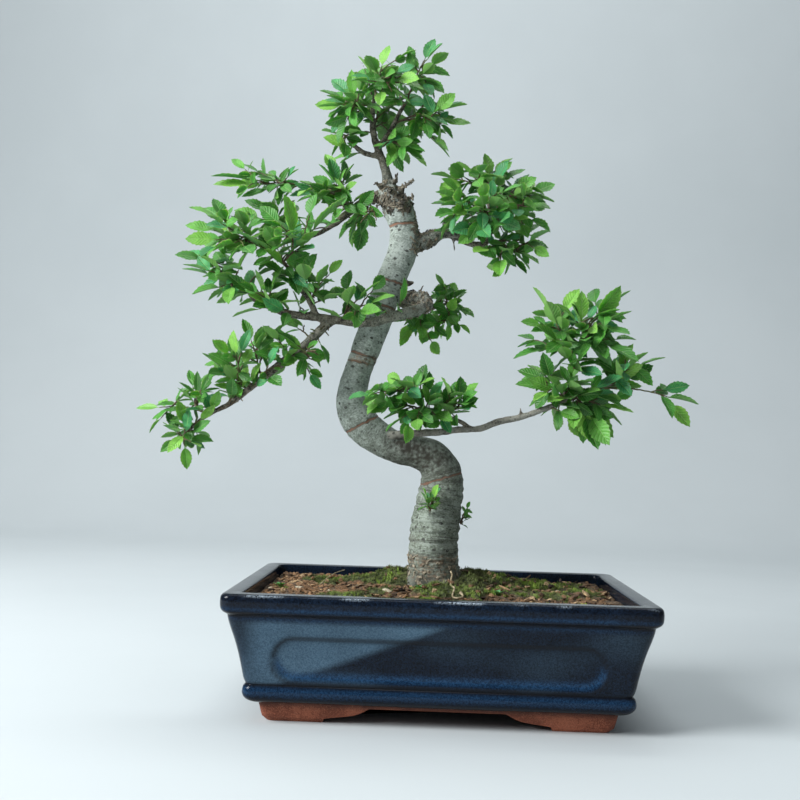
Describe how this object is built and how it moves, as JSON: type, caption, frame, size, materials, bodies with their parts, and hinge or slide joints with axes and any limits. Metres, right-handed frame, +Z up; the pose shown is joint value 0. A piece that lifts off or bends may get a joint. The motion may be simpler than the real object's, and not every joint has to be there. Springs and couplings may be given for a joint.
{
  "type": "chinese elm bonsai",
  "caption": "Informal upright Chinese elm bonsai with an S-shaped trunk and leafy branch pads, planted in a shallow rectangular glazed pot on corner feet.",
  "frame": {"origin": "bottom centre of the whole object's bounding box, on the ground plane under the pot's feet", "axes": "+Z up along the tree, -Y towards the front of the pot and the viewer, +X to the viewer's right"},
  "size_m": [0.3734, 0.188, 0.4505],
  "materials": {
    "glaze": "dark blue glossy glaze, unglazed red clay feet",
    "bark": "smooth grey bark with small lenticels",
    "leaf": "semi-gloss green leaves",
    "soil": "crumbly brown bark and grit, mossy",
    "mesh_pad": "dark plastic mesh"
  },
  "bodies": {
    "root": {"pot": "glaze", "soil": "soil", "wood": "bark", "drain_pad_left": "mesh_pad", "drain_pad_right": "mesh_pad", "crown_top": "leaf", "crown_peak": "leaf", "crown_right": "leaf", "crown_left": "leaf", "crown_low_left": "leaf", "crown_low": "leaf", "crown_back": "leaf", "upper_left_tip": "leaf", "upper_left_top": "leaf", "upper_left_collar": "leaf", "upper_left_hanging": "leaf", "left_far": "leaf", "left_middle": "leaf", "left_low": "leaf", "left_under": "leaf", "left_near": "leaf", "trunk_front": "leaf", "lower_left_tip": "leaf", "lower_left_far": "leaf", "lower_left_middle": "leaf", "lower_left_inner": "leaf", "lower_left_near": "leaf", "upper_right_top": "leaf", "upper_right_left": "leaf", "upper_right_far": "leaf", "upper_right_low": "leaf", "upper_right_back": "leaf", "upper_right_front": "leaf", "middle_right_tip": "leaf", "middle_right_low": "leaf", "low_centre_top": "leaf", "low_centre_right": "leaf", "low_centre_left": "leaf", "right_top": "leaf", "right_left": "leaf", "right_middle": "leaf", "right_tip": "leaf", "right_long": "leaf", "right_low": "leaf", "right_under": "leaf", "trunk_sprout": "leaf", "trunk_sprout_right": "leaf"}
  },
  "joints": []
}
